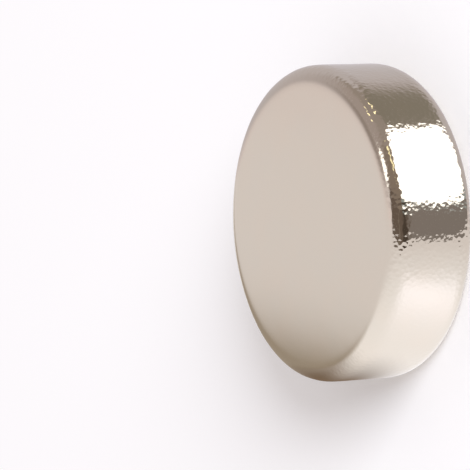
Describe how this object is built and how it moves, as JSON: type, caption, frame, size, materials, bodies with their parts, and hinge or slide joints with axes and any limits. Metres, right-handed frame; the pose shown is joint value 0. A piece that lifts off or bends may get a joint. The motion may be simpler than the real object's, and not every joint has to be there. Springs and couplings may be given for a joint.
{
  "type": "disc magnet",
  "caption": "Flat round magnet disc with a bright nickel skin and softly rounded edges, magnetised through its thickness.",
  "frame": {"origin": "centre of the lower pole face, which the disc lies on", "axes": "+Z along the disc's own axis, from the lower pole face to the upper one, which is also the direction of magnetisation"},
  "size_m": [0.01, 0.01, 0.003],
  "materials": {
    "nickel_plating": "polished"
  },
  "bodies": {
    "root": {"disc_magnet": "nickel_plating"}
  },
  "joints": []
}
